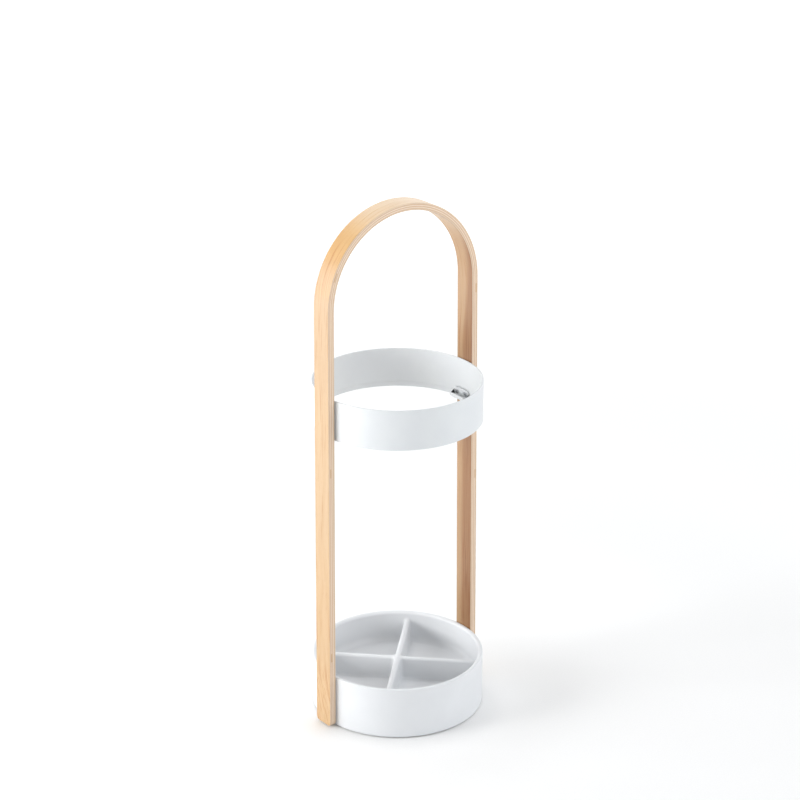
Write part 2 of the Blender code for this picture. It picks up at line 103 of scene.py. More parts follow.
# Tray
TRAY_WALL = 0.0060
TRAY_FLOOR = 0.028
TRAY_FLOOR_THICKNESS = 0.003
TRAY_DRAFT = 0.0006
TRAY_FILLET = 0.008
RIM_OUTER = 0.0015
RIM_INNER = 0.0035
BASE_EDGE = 0.0008
DIVIDER_TOP = 0.0566
DIVIDER_HALF = 0.0035
DIVIDER_DRAFT = 0.025
DIVIDER_FILLET = 0.003
DIVIDER_REACH = 0.1025
DIVIDER_INSET = 0.0025
DIVIDER_SUNK = 0.001
CROSSING_FILLET = 0.005
CAVITY_RADIUS = 0.0995
TRAY_PITCH = 0.0014
TRAY_MARGIN = 0.002
BALLAST_BOSS_RADIUS = 0.007
BALLAST_BOSS_BOTTOM = 0.015
COVER_BOSS_CIRCLE = 0.088
COVER_BOSS_RADIUS = 0.0045
COVER_BOSS_BOTTOM = 0.0048
SCREW_PAD_FACE = 0.0975
SCREW_PAD_HALF = 0.014
SCREW_PAD_HEIGHTS = (0.006, 0.019)

# Wood colours as displayed, from 0 to 255
VENEER = (189, 161, 126)
VENEER_BAND = (186, 156, 119)
PLY_LENGTHWISE = (226, 208, 188)
PLY_CROSSWISE = (203, 172, 141)
PLY_SHADE = (190, 156, 124)
PLY_FLECK = (172, 134, 100)
GLUE = (172, 136, 104)

# The other materials' main and second tones, as displayed
POWDER_COAT = ((210, 213, 214), (207, 210, 212))
MOULDING = ((217, 219, 221), (214, 216, 218))
ZINC = ((200, 202, 204), (176, 178, 182))
BRASS = ((214, 178, 104), (190, 150, 80))
CAST_IRON = ((58, 58, 60), (92, 90, 88))
GREY_PLASTIC = ((150, 152, 156), (166, 168, 172))
RUBBER = ((38, 38, 40), (60, 60, 62))
COOL_GRAIN = (205, 210, 218)

# Colours that multiply the veneer or the plies
STREAK_TINT = (0.80, 0.61, 0.41)
FIBRE_TINT = (0.90, 0.80, 0.68)
PORE_TINT = (0.78, 0.62, 0.46)
# Painted shade: deeper and warmer over the upper left bend, where it catches no sheen
WARM_PAINTED_SHADE = (1.09, 0.96, 0.69)
# Painted shade: darker over the left bend, which tones down the sheen there
BEND_PAINTED_SHADE = (0.935, 0.905, 0.88)
LEG_TINT = (1.04, 1.015, 0.97)
# Painted light: lighter at the left foot
FOOT_PAINTED_LIGHT = (1.075, 1.075, 1.055)
# Painted sheen: lighter and whiter over the top
TOP_PAINTED_SHEEN = (1.28, 1.38, 1.54)
# Painted shade on the inner face
INNER_PAINTED_SHADE = (0.745, 0.668, 0.597)
HEART_TINT = (0.70, 0.56, 0.44)
MARK_TINT = (0.82, 0.70, 0.55)
CORNER_TINT = (0.86, 0.83, 0.79)

# Millimetres along the strap from the left foot: where each zone's tint is nothing, then full. The foot,
# bend, warm, top and inner zones place painted light, shade and sheen
FOOT_ZONE = (110, 30)
FOOT_STROKES = (92, 58)
LEG_ZONE = (320, 120)
BEND_START = (395, 470)
BEND_END = (610, 575)
WARM_START = (545, 560)
WARM_DEEPENS = (575, 605)
WARM_END = (676, 628)
TOP_ZONE = (620, 690)
INNER_ZONE = (775, 840)
HEART_ZONE = (800, 870)
HEART_EDGE = (865, 980)

# Core marks, in millimetres along the strap: the first one before and after half way, and their spacing
HALF_WAY = (740, 741)
MARK_START_LEFT = 94.0
MARK_START_RIGHT = 898.0
MARK_SPACING = 243.0

# The one body that every piece rides on
BODY = "root"

# Studio lights: azimuth and elevation in degrees, size, distance and power
LIGHTS = {
    "key_wide": (150, 10, 1.4, 2.2, 33.2),
    "key": (165, 12, 0.8, 2.2, 19.4),
    "top_back": (90, 70, 1.0, 1.6, 10.0),
    "right_low": (-45, 10, 1.4, 2.2, 1.7),
    "right_high": (-45, 40, 1.4, 2.2, 9.1),
}
LIGHT_TARGET = (0, 0, 0.3)

# Surroundings: bright in front and behind, softer to the right, dark on the key light's side
WORLD_TINT = (0.98, 1.0, 1.03)
WORLD_LOW = {"right": 0.79, "back": 1.99, "front": 1.78}
WORLD_OVERHEAD = {"right": 1.06, "front": 0.61}
OVERHEAD_HEIGHTS = (0.25, 0.8)

# Floor: half its width, its colours, and its glow's strength with the distances where it starts and is full
FLOOR = 30.0
FLOOR_COLOURS = ((0.842, 0.84, 0.832), (0.862, 0.86, 0.852))
NEAR_GLOW = 0.07
NEAR_GLOW_REACH = (0.5, 0.85)
FAR_GLOW = 0.45
FAR_GLOW_REACH = (0.7, 2.4)

# Camera: it looks at a point at a share of the stand's height, shifted a little to the right
CAMERA_AZIMUTH = math.radians(-37.82)
CAMERA_ELEVATION = math.radians(22.03)
CAMERA_DISTANCE = 2.8855
CAMERA_LENS = 108.82
CAMERA_SENSOR = 36.0
TARGET_SHARE = 0.6183
TARGET_SHIFT = 0.0032


# ---------------------------------------------------------------- mesh helpers


def new_object(name, vertices, faces, material):
    mesh = bpy.data.meshes.new(name)
    mesh.from_pydata([tuple(v) for v in vertices], [], faces)
    mesh.materials.append(material)
    mesh.update()
    thing = bpy.data.objects.new(name, mesh)
    bpy.context.scene.collection.objects.link(thing)
    return thing


def even_normals(thing):
    """Turns every face outwards."""
    bm = bmesh.new()
    bm.from_mesh(thing.data)
    bmesh.ops.recalc_face_normals(bm, faces=bm.faces)
    bm.to_mesh(thing.data)
    bm.free()


def apply_modifiers(thing):
    """Turns the object's modifiers into its mesh."""
    shown = thing.evaluated_get(bpy.context.evaluated_depsgraph_get())
    mesh = bpy.data.meshes.new_from_object(shown)
    thing.modifiers.clear()
    thing.data = mesh


def shade(thing, sharp_angle):
    """Smooth shading that keeps hard corners and flat faces."""
    thing.data.shade_smooth()
    thing.data.set_sharp_from_angle(angle=math.radians(sharp_angle))
    weighted = thing.modifiers.new("even_shading", "WEIGHTED_NORMAL")
    weighted.keep_sharp = True
    weighted.weight = 80


def arc(centre, radius, start, end, steps):
    """Points of an arc in a plane, with its angles in degrees."""
    angles = np.radians(np.linspace(start, end, steps + 1))
    return np.stack([centre[0] + radius * np.cos(angles), centre[1] + radius * np.sin(angles)], axis=1)


def grid_faces(rows, columns, close_rows=False, close_columns=False):
    """Quads of a grid of points numbered row by row."""
    faces = []
    for i in range(rows if close_rows else rows - 1):
        for j in range(columns if close_columns else columns - 1):
            a, b = i * columns, (i + 1) % rows * columns
            k = (j + 1) % columns
            faces.append((a + j, a + k, b + k, b + j))
    return faces


def stand_for(thing, slot, *nodes):
    """Lets a piece ride on the body in place of the CAD nodes. The slot is not used."""
    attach(thing, BODY)
    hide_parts(*nodes)


# ---------------------------------------------------------------- node helpers


class Nodes:
    """Short calls for building a node tree."""

    def __init__(self, tree):
        self.tree = tree

    def link(self, value, socket):
        """Links an output to a socket, or sets the socket to a plain value."""
        if isinstance(value, bpy.types.NodeSocket):
            self.tree.links.new(value, socket)
        elif isinstance(value, tuple) and len(value) == 3 and socket.type == "RGBA":
            socket.default_value = (*value, 1.0)
        else:
            socket.default_value = value

    def node(self, kind, output=0, settings=None, **inputs):
        """A new node's output. Inputs go by name, with _ for a space, or by number, as i0 or i1."""
        made = self.tree.nodes.new(kind)
        for key, value in (settings or {}).items():
            setattr(made, key, value)
        for key, value in inputs.items():
            index = int(key[1:]) if key[0] == "i" and key[1:].isdigit() else key.replace("_", " ")
            self.link(value, made.inputs[index])
        return made.outputs[output]

    def math(self, operation, a, b=0.0, c=0.0):
        return self.node("ShaderNodeMath", settings={"operation": operation}, i0=a, i1=b, i2=c)

    def attribute(self, name):
        settings = {"attribute_name": name, "attribute_type": "GEOMETRY"}
        return self.node("ShaderNodeAttribute", output="Vector", settings=settings)

    def place(self):
        """Position in the object's own space, which is the frame's."""
        return self.node("ShaderNodeTexCoord", output="Object")

    def split(self, vector):
        made = self.tree.nodes.new("ShaderNodeSeparateXYZ")
        self.link(vector, made.inputs[0])
        return made.outputs[0], made.outputs[1], made.outputs[2]

    def join(self, x, y, z):
        return self.node("ShaderNodeCombineXYZ", i0=x, i1=y, i2=z)

    def stretch(self, vector, x, y, z):
        """The vector with each part multiplied."""
        return self.node(
            "ShaderNodeVectorMath", settings={"operation": "MULTIPLY"}, i0=vector, i1=(x, y, z)
        )

    def noise(self, vector, scale=1.0, detail=2.0, roughness=0.5, distortion=0.0):
        return self.node(
            "ShaderNodeTexNoise", output="Fac", Vector=vector, Scale=scale, Detail=detail,
            Roughness=roughness, Distortion=distortion,
        )

    def ramp(self, value, low, high, to_low=0.0, to_high=1.0, smooth=True):
        """The value taken from low and high to two others, and held there beyond them."""
        settings = {"interpolation_type": "SMOOTHSTEP" if smooth else "LINEAR"}
        return self.node(
            "ShaderNodeMapRange", settings=settings, Value=value, From_Min=low, From_Max=high,
            To_Min=to_low, To_Max=to_high,
        )

    def mix(self, factor, a, b, blend="MIX"):
        """Colour a turned into b, or multiplied by it, by a factor."""
        made = self.tree.nodes.new("ShaderNodeMix")
        made.data_type = "RGBA"
        made.blend_type = blend
        self.link(factor, made.inputs["Factor"])
        self.link(a, made.inputs[6])
        self.link(b, made.inputs[7])
        return made.outputs[2]

    def bump(self, height, strength, distance):
        made = self.tree.nodes.new("ShaderNodeBump")
        made.inputs["Strength"].default_value = strength
        made.inputs["Distance"].default_value = distance
        self.link(height, made.inputs["Height"])
        return made.outputs["Normal"]


class Shader(Nodes):
    """A node material around one Principled BSDF."""

    def __init__(self, name):
        self.material = bpy.data.materials.new(name)
        self.material.use_nodes = True
        super().__init__(self.material.node_tree)
        self.surface = self.tree.nodes["Principled BSDF"]

    def set(self, **values):
        """Sets sockets by name, with _ for a space."""
        for key, value in values.items():
            self.link(value, self.surface.inputs[key.replace("_", " ")])

    def millimetres(self):
        """Position in the frame, in millimetres."""
        return self.stretch(self.place(), MM, MM, MM)


def srgb(red, green, blue):
    """A display colour from 0 to 255 as a linear one."""
    values = [x / 255 for x in (red, green, blue)]
    return tuple(v / 12.92 if v <= 0.04045 else ((v + 0.055) / 1.055) ** 2.4 for v in values)


# ---------------------------------------------------------------- materials


def wood_grain(s, along, across, inner):
    """Noises along the grain, which drifts across the strap and slants near the left foot."""
    sheet = s.math("MULTIPLY", inner, 37.0)
    wander = s.noise(s.join(s.math("MULTIPLY", along, 0.006), sheet, 0.0), detail=1.5)
    slant = s.math("SMOOTH_MIN", s.math("MULTIPLY", along, 0.36), 24.0, 8.0)
    drift = s.math("ADD", s.math("MULTIPLY", wander, 22.0), slant)
    wood = s.join(along, s.math("SUBTRACT", across, drift), sheet)

    fibre = s.noise(s.stretch(wood, 0.05, 2.2, 1.0), detail=4.0, roughness=0.65)
    bands = s.noise(s.stretch(wood, 0.009, 0.16, 1.0), detail=1.0)
    lines = s.noise(s.stretch(wood, 0.011, 0.52, 1.0), detail=3.0, roughness=0.55, distortion=0.25)
    grouped = s.ramp(s.noise(s.stretch(wood, 0.010, 0.10, 1.0), detail=1.0), 0.42, 0.60)
    streaks = s.math("MULTIPLY", s.ramp(lines, 0.545, 0.625), grouped)
    strokes = s.noise(s.stretch(wood, 0.045, 0.62, 1.0), detail=3.0, roughness=0.6, distortion=0.3)
    strokes = s.math("MULTIPLY", s.ramp(strokes, 0.50, 0.60), s.ramp(along, *FOOT_STROKES))
    streaks = s.math("MAXIMUM", streaks, s.math("MULTIPLY", strokes, 0.85))
    dashes = s.noise(s.stretch(wood, 0.11, 2.6, 1.0), detail=2.0)
    pores = s.math("MULTIPLY", s.ramp(dashes, 0.57, 0.70), s.ramp(lines, 0.40, 0.62))
    return {"fibre": fibre, "bands": bands, "lines": lines, "streaks": streaks, "pores": pores}


def veneer_colour(s, along, inner, grain):
    """Face veneer: its grain, then the tint of each zone along the strap. Most zone tints are painted
    light: painted shade over the bends and on the inner face, a painted sheen over the top and painted
    light at the foot.
    """
    veneer = s.mix(s.ramp(grain["bands"], 0.35, 0.65), srgb(*VENEER), srgb(*VENEER_BAND))
    veneer = s.mix(s.math("MULTIPLY", grain["streaks"], 0.85), veneer, STREAK_TINT, "MULTIPLY")
    veneer = s.mix(s.ramp(grain["fibre"], 0.35, 0.75, 0.0, 0.40), veneer, FIBRE_TINT, "MULTIPLY")
    veneer = s.mix(s.math("MULTIPLY", grain["pores"], 0.75), veneer, PORE_TINT, "MULTIPLY")

    outer = s.math("SUBTRACT", 1.0, inner)
    # Painted shade: deeper and warmer over the upper left bend, 545 to 676 mm, where it catches no sheen
    warm = s.math("MULTIPLY", s.ramp(along, *WARM_START), s.ramp(along, *WARM_END))
    warm = s.math("MULTIPLY", warm, s.ramp(along, *WARM_DEEPENS, 0.45, 1.0))
    # Painted shade: darker over the left bend, 395 to 610 mm, which tones down the sheen there
    bend = s.math("MULTIPLY", s.ramp(along, *BEND_START), s.ramp(along, *BEND_END))
    # Painted sheen: lighter and whiter on the outer face from 620 mm on, over the top and down the right
    # side
    top = s.ramp(along, *TOP_ZONE)
    for zone, tint in ((warm, WARM_PAINTED_SHADE), (bend, BEND_PAINTED_SHADE), (top, TOP_PAINTED_SHEEN)):
        veneer = s.mix(s.math("MULTIPLY", zone, outer), veneer, tint, "MULTIPLY")
    veneer = s.mix(s.ramp(along, *LEG_ZONE), veneer, LEG_TINT, "MULTIPLY")
    # Painted light: lighter near the left foot, full below 30 mm and gone by 110 mm
    veneer = s.mix(s.ramp(along, *FOOT_ZONE), veneer, FOOT_PAINTED_LIGHT, "MULTIPLY")
    # Painted shade on the inner face: a third of it up to 775 mm along, all of it from 840 mm
    shaded = s.math("MULTIPLY", inner, s.ramp(along, *INNER_ZONE, 0.30, 1.0))
    return s.mix(shaded, veneer, INNER_PAINTED_SHADE, "MULTIPLY")


def add_heartwood(s, veneer, along, across, inner, grain):
    """Dark heartwood on one side of the right leg's inner face, with a boundary that crosses it slowly."""
    boundary = s.ramp(along, *HEART_EDGE, -6.5, 4.0, smooth=False)
    beside = s.math("SUBTRACT", across, boundary)
    beside = s.math("ADD", beside, s.ramp(grain["lines"], 0.3, 0.7, -2.5, 2.5))
    heart = s.math("MULTIPLY", s.ramp(beside, 5.0, -6.0), s.ramp(along, *HEART_ZONE))
    heart = s.math("MULTIPLY", heart, inner)
    veneer = s.mix(heart, veneer, HEART_TINT, "MULTIPLY")
    dark_lines = s.math("MULTIPLY", s.ramp(grain["lines"], 0.46, 0.60), heart)
    return s.mix(s.math("MULTIPLY", dark_lines, 0.55), veneer, STREAK_TINT, "MULTIPLY")


def ply_colour(s, along, depth, from_face):
    """Plies on the edges: every second one runs crosswise and shows darker end grain."""
    layer = s.math("DIVIDE", depth, PLY * MM)
    index = s.math("FLOOR", layer)
    crosswise = s.math("COMPARE", s.math("MODULO", index, 2.0), 1.0, 0.1)
    lamella = s.join(s.math("MULTIPLY", along, 0.02), s.math("MULTIPLY", depth, 2.2), index)
    lamella = s.ramp(s.noise(lamella, detail=3.0), 0.40, 0.70, 0.0, 0.25)
    fleck = s.join(s.math("MULTIPLY", along, 1.4), s.math("MULTIPLY", depth, 2.5), index)
    fleck = s.ramp(s.noise(fleck, detail=2.0), 0.58, 0.74, 0.0, 0.30)
    glue = s.ramp(s.math("PINGPONG", layer, 0.5), 0.03, 0.10, 0.45, 0.0)
    plies = s.mix(crosswise, srgb(*PLY_LENGTHWISE), srgb(*PLY_CROSSWISE))
    plies = s.mix(lamella, plies, srgb(*PLY_SHADE))
    plies = s.mix(fleck, plies, srgb(*PLY_FLECK))
    plies = s.mix(glue, plies, srgb(*GLUE))
    return s.mix(s.ramp(from_face, 1.15, 0.85), plies, CORNER_TINT, "MULTIPLY")


def add_core_marks(s, plies, along, depth):
    """A darker core mark in the second and third ply, at a steady distance along the strap."""
    first = s.ramp(along, *HALF_WAY, MARK_START_LEFT, MARK_START_RIGHT)
    repeat = s.math("PINGPONG", s.math("SUBTRACT", along, first), MARK_SPACING / 2)
    mark = s.math("MULTIPLY", s.ramp(repeat, 6.5, 5.0), s.ramp(depth, 1.5, 1.9))
    mark = s.math("MULTIPLY", mark, s.ramp(depth, 3.9, 3.5))
    return s.mix(s.math("MULTIPLY", mark, 0.8), plies, MARK_TINT, "MULTIPLY")


def plywood():
    """Lacquered veneer on the faces and stacked plies on the edges, in the unbent strap's coordinates."""
    s = Shader("birch_plywood")
    along, across, depth = s.split(s.stretch(s.attribute("strap"), MM, MM, MM))
    middle = STRAP_THICKNESS * MM / 2
    inner = s.math("GREATER_THAN", depth, middle)
    from_face = s.math("SUBTRACT", middle, s.math("ABSOLUTE", s.math("SUBTRACT", depth, middle)))
    face = s.ramp(from_face, 0.10, 0.45, 1.0, 0.0)
    grain = wood_grain(s, along, across, inner)
    fibre = grain["fibre"]
    veneer = veneer_colour(s, along, inner, grain)
    veneer = add_heartwood(s, veneer, along, across, inner, grain)
    plies = ply_colour(s, along, depth, from_face)
    plies = add_core_marks(s, plies, along, depth)
    edge_roughness = s.ramp(fibre, 0.3, 0.7, 0.36, 0.46)
    face_roughness = s.ramp(fibre, 0.3, 0.7, 0.32, 0.42)
    relief = s.math("SUBTRACT", s.math("MULTIPLY", fibre, 0.5), s.math("MULTIPLY", grain["pores"], 0.8))
    s.set(Base_Color=s.mix(face, plies, veneer), Roughness=s.mix(face, edge_roughness, face_roughness))
    s.set(Normal=s.bump(relief, 0.25, 0.0001), Coat_Weight=0.20, Coat_Roughness=0.22)
    return s.material


def coat(name, tones, roughness, grain_mm, strength):
    """A fine-textured pale finish with faint clouding."""
    s = Shader(name)
    place = s.millimetres()
    cloud = s.noise(s.stretch(place, 0.02, 0.02, 0.02), detail=3.0)
    grain = s.noise(place, scale=1.0 / grain_mm, detail=3.0, roughness=0.55)
    mottle = s.noise(place, scale=0.35, detail=2.0)
    tone = s.mix(s.ramp(cloud, 0.35, 0.65), srgb(*tones[0]), srgb(*tones[1]))
    tone = s.mix(s.ramp(grain, 0.35, 0.75, 0.0, 0.06), tone, srgb(*COOL_GRAIN))
    rough = s.ramp(mottle, 0.3, 0.7, roughness - 0.03, roughness + 0.04)
    s.set(Base_Color=tone, Roughness=rough, Normal=s.bump(grain, strength, 0.00008))
    return s.material


def metal(name, tones, roughness, grain_mm):
    """Brushed metal with faint clouding."""
    s = Shader(name)
    place = s.millimetres()
    scratch = s.noise(s.stretch(place, 3.0, 0.6, 3.0), scale=1.0 / grain_mm, detail=3.0)
    cloud = s.noise(place, scale=0.4, detail=2.0)
    tone = s.mix(s.ramp(cloud, 0.3, 0.7), srgb(*tones[0]), srgb(*tones[1]))
    rough = s.ramp(scratch, 0.3, 0.7, roughness - 0.08, roughness + 0.1)
    s.set(Base_Color=tone, Metallic=1.0, Roughness=rough, Normal=s.bump(scratch, 0.2, 0.00003))
    return s.material


def rough_solid(name, tones, roughness, grain_mm, strength, metallic=0.0):
    """Cast iron, rubber or textured plastic."""
    s = Shader(name)
    place = s.millimetres()
    grain = s.noise(place, scale=1.0 / grain_mm, detail=5.0, roughness=0.65)
    tone = s.mix(s.ramp(grain, 0.4, 0.75), srgb(*tones[0]), srgb(*tones[1]))
    rough = s.ramp(grain, 0.3, 0.7, roughness - 0.1, roughness + 0.08)
    s.set(Base_Color=tone, Metallic=metallic, Roughness=rough, Normal=s.bump(grain, strength, 0.0002))
    return s.material


def finishes():
    """A material for each slot in the record."""
    return {
        "birch_plywood": plywood(),
        "white_powder_coat": coat("white_powder_coat", POWDER_COAT, 0.42, 0.55, 0.35),
        "white_moulding": coat("white_moulding", MOULDING, 0.48, 0.40, 0.30),
        "zinc_plated_steel": metal("zinc_plated_steel", ZINC, 0.34, 0.3),
        "brass": metal("brass", BRASS, 0.32, 0.3),
        "cast_iron": rough_solid("cast_iron", CAST_IRON, 0.62, 0.7, 0.6, metallic=0.8),
        "grey_plastic": rough_solid("grey_plastic", GREY_PLASTIC, 0.6, 0.5, 0.3),
        "rubber": rough_solid("rubber", RUBBER, 0.85, 0.4, 0.4),
    }


# ---------------------------------------------------------------- arch


class Strap:
    """The strap's path along its outer face, from the left foot over the top to the right foot."""

    def __init__(self, low, high):
        self.half_width = high.y
        self.spring = high.z - ARCH_RADIUS
        self.splay = math.atan((high.x - ARCH_RADIUS) / (self.spring - low.z))
        self.leg = (self.spring - low.z) / math.cos(self.splay)
        self.bend = ARCH_RADIUS * (math.pi - 2 * self.splay)
        self.length = 2 * self.leg + self.bend

    def at(self, along):
        """Outer point and inward normal in the XZ plane."""
        side = 1.0
        if along > self.length / 2:
            along, side = self.length - along, -1.0
        if along < self.leg:
            turn = math.pi - self.splay
            rise = self.leg - along
        else:
            turn = math.pi - self.splay - (along - self.leg) / ARCH_RADIUS
            rise = 0.0
        x = ARCH_RADIUS * math.cos(turn) - rise * math.sin(self.splay)
        z = self.spring + ARCH_RADIUS * math.sin(turn) - rise * math.cos(self.splay)
        return (x * side, z), (-math.cos(turn) * side, -math.sin(turn))

    def stations(self):
        """Distances along the strap: dense at the rounded feet and round the bend."""
        edge = [EDGE_ROUNDING * (1 - math.cos(math.radians(a))) for a in range(0, 60, 20)]
        foot = edge + [FOOT_ROUNDING * (1 - math.cos(math.radians(a))) for a in range(30, 91, 10)]
        leg = list(np.linspace(foot[-1], self.leg, 50))[1:]
        bend = list(self.leg + self.bend * np.linspace(0, 1, 61)[1:31])
        half = foot + leg + bend
        return half + [self.length - a for a in reversed(half[:-1])]


def strap_section(half_width):
    """Section as (across, depth), with rounded corners and a fine groove at each glue line."""
    r, t, w = EDGE_ROUNDING, STRAP_THICKNESS, half_width
    steps = 5
    face = np.linspace(-w + r + FACE_MARGIN, w - r - FACE_MARGIN, 9)
    edge = []
    for line in PLY * np.arange(1, PLIES):
        edge += [(w, line - GLUE_GROOVE_HALF), (w - GLUE_GROOVE_DEPTH, line), (w, line + GLUE_GROOVE_HALF)]
    edge = np.array(edge)
    parts = [
        [(x, 0.0) for x in face],
        arc((w - r, r), r, -90, 0, steps),
        edge,
        arc((w - r, t - r), r, 0, 90, steps),
        [(x, t) for x in reversed(face)],
        arc((r - w, t - r), r, 90, 180, steps),
        edge[::-1] * (-1, 1),
        arc((r - w, r), r, 180, 270, steps),
    ]
    return np.concatenate(parts)


def rounded_end(end, radius):
    """How far a rounded end is set back, at a distance from its tip."""
    trim = max(radius - end, 0.0)
    return radius - math.sqrt(radius**2 - trim**2)


def make_arch(material):
    """Sweeps the section along the strap, and keeps each point's unbent place for the wood's grain."""
    low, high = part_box("bentwood_arch")
    strap = Strap(low, high)
    section = strap_section(strap.half_width)
    stations = strap.stations()
    vertices, unbent = [], []
    for along in stations:
        (x, z), (nx, nz) = strap.at(along)
        end = min(along, strap.length - along)
        thin = rounded_end(end, EDGE_ROUNDING)
        wide = (strap.half_width - rounded_end(end, FOOT_ROUNDING)) / strap.half_width
        thick = (STRAP_THICKNESS - 2 * thin) / STRAP_THICKNESS
        for across, depth in section:
            y = across * wide
            d = thin + depth * thick
            vertices.append((x + nx * d, y, z + nz * d))
            unbent.append((along, y, d))
    count = len(section)
    faces = grid_faces(len(stations), count, close_columns=True)
    last = (len(stations) - 1) * count
    faces.append(tuple(range(count)))
    faces.append(tuple(last + i for i in reversed(range(count))))
    arch = new_object("bentwood_arch_veneered", vertices, faces, material)
    even_normals(arch)
    layer = arch.data.attributes.new("strap", "FLOAT_VECTOR", "POINT")
    layer.data.foreach_set("vector", np.array(unbent, np.float32).ravel())
    shade(arch, 60)
    stand_for(arch, "birch_plywood", "bentwood_arch")


# ---------------------------------------------------------------- ring and hooks


def revolve(name, profile, steps, material):
    """Turns a closed (radius, height) profile about the Z axis."""
    vertices = []
    for angle in np.linspace(0, 2 * math.pi, steps, endpoint=False):
        for radius, height in profile:
            vertices.append((radius * math.cos(angle), radius * math.sin(angle), height))
    faces = grid_faces(steps, len(profile), close_rows=True, close_columns=True)
    thing = new_object(name, vertices, faces, material)
    even_normals(thing)
    return thing


def make_ring(material):
    """A band with rounded edges and a shallow recess along its inner lower edge."""
    low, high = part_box("support_ring")
    outer, inner = high.x, high.x - RING_WALL
    r = RING_RIM
    relief = inner + RING_RELIEF_DEPTH
    step = low.z + RING_RELIEF_HEIGHT
    profile = np.concatenate(
        [
            arc((outer - r, high.z - r), r, 90, 0, 5),
            [(outer, high.z - 3 * r), (outer, low.z + 3 * r)],
            arc((outer - r, low.z + r), r, 0, -90, 5),
            [(relief + r / 2, low.z), (relief, low.z + r / 2), (relief, step - 2 * RELIEF_GROOVE)],
            [(relief + RELIEF_GROOVE, step - RELIEF_GROOVE), (relief, step), (inner, step + RELIEF_STEP)],
            [(inner, step + 2 * r), (inner, high.z - 3 * r)],
            arc((inner + r, high.z - r), r, 180, 90, 5),
        ]
    )
    ring = revolve("support_ring_coated", profile, 256, material)
    cut_screw_holes(ring, (-1, 1))
    shade(ring, 50)
    stand_for(ring, "white_powder_coat", "support_ring")


def screw_hole():
    """A countersunk hole along X as a cutter: a profile of (reach, radius) turned about its own axis."""
    profile = [
        (-CUTTER_LEAD, SCREW_HEAD),
        (SCREW_HEAD_SINK, SCREW_HEAD),
        (SCREW_HEAD - SCREW_HOLE, SCREW_HOLE),
        (SCREW_HOLE_LENGTH, SCREW_HOLE),
    ]
    steps = 32
    vertices = [
        (x, r * math.cos(a), r * math.sin(a))
        for x, r in profile
        for a in np.linspace(0, 2 * math.pi, steps, endpoint=False)
    ]
    faces = grid_faces(len(profile), steps, close_columns=True)
    faces.append(tuple(reversed(range(steps))))
    faces.append(tuple((len(profile) - 1) * steps + i for i in range(steps)))
    return vertices, faces


def cut_screw_holes(thing, sides):
    """Cuts the pair of ring screw holes on each side with one boolean."""
    points, quads = screw_hole()
    vertices, faces = [], []
    for side in sides:
        for row in (-SCREW_ROW, SCREW_ROW):
            start = len(vertices)
            for x, y, z in points:
                vertices.append(((HOOK_FACE + x) * side, (row + y) * side, RING_SCREW_HEIGHT + z))
            faces.extend(tuple(start + i for i in quad) for quad in quads)
    cutter = new_object(thing.name + "_cutter", vertices, faces, thing.data.materials[0])
    even_normals(cutter)
    cut = thing.modifiers.new("screw_holes", "BOOLEAN")
    cut.operation = "DIFFERENCE"
    cut.solver = "EXACT"
    cut.object = cutter
    apply_modifiers(thing)
    bpy.data.objects.remove(cutter)


def hook_profile(y, low, high):
    """Closed (x, z) outline of the hook's sheet at a place across its width."""
    from_end = high.y - abs(y)
    corner = rounded_end(from_end, HOOK_CORNER)
    edge = rounded_end(from_end, HOOK_EDGE)
    back = math.sqrt(high.x**2 - y**2) - edge
    face = HOOK_FACE + edge
    under, shelf = low.z + edge, low.z + HOOK_SHEET - edge
    lip, lip_back = low.x + edge, low.x + HOOK_SHEET - edge
    top, lip_top = high.z - corner - edge, HOOK_LIP_TOP - corner - edge
    r = HOOK_EDGE
    outer_bend, inner_bend = HOOK_SHEET * 1.5, HOOK_SHEET * 0.5
    parts = [
        arc((face + r, top - r), r, 180, 90, 3),
        arc((back - r, top - r), r, 90, 0, 3),
        np.linspace((back, top - 2 * r), (back, under + outer_bend), 6),
        arc((back - outer_bend, under + outer_bend), outer_bend, 0, -90, 8)[1:],
        arc((lip + outer_bend, under + outer_bend), outer_bend, 270, 180, 8),
        arc((lip + r, lip_top - r), r, 180, 90, 3),
        arc((lip_back - r, lip_top - r), r, 90, 0, 3),
        arc((lip_back + inner_bend, shelf + inner_bend), inner_bend, 180, 270, 6),
        arc((face - inner_bend, shelf + inner_bend), inner_bend, -90, 0, 6),
        np.linspace((face, shelf + 2 * inner_bend), (face, top - 2 * r), 5),
    ]
    return np.concatenate(parts)


def make_hook(name, side, material):
    """A bent sheet: a plate, a shelf and an upturned lip. The left hook is the right one turned round."""
    low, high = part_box("hook_right")
    half = high.y
    edge = [HOOK_EDGE * (1 - math.cos(math.radians(a))) for a in (0, 25, 50, 75)]
    corner = [HOOK_CORNER * (1 - math.cos(math.radians(a))) for a in range(30, 91, 10)]
    ends = [half - e for e in edge + corner]
    across = ends + list(np.linspace(ends[-1], -ends[-1], 12))[1:-1] + [-y for y in reversed(ends)]
    vertices = []
    for y in across:
        vertices.extend((x * side, y * side, z) for x, z in hook_profile(y, low, high))
    count = len(vertices) // len(across)
    faces = grid_faces(len(across), count, close_columns=True)
    faces.append(tuple(range(count)))
    faces.append(tuple(len(vertices) - count + i for i in reversed(range(count))))
    hook = new_object(name + "_bent", vertices, faces, material)
    even_normals(hook)
    cut_screw_holes(hook, (side,))
    shade(hook, 40)
    stand_for(hook, "white_powder_coat", name)


# ---------------------------------------------------------------- tray


def round_and(a, b, radius):
    """Intersection of two distance fields with its outward edge rounded."""
    inside = np.minimum(np.maximum(a, b), -radius)
    return inside + np.hypot(np.maximum(a + radius, 0), np.maximum(b + radius, 0))


def round_or(a, b, radius):
    """Union of two distance fields with its inward corner filled."""
    return -round_and(-a, -b, radius)


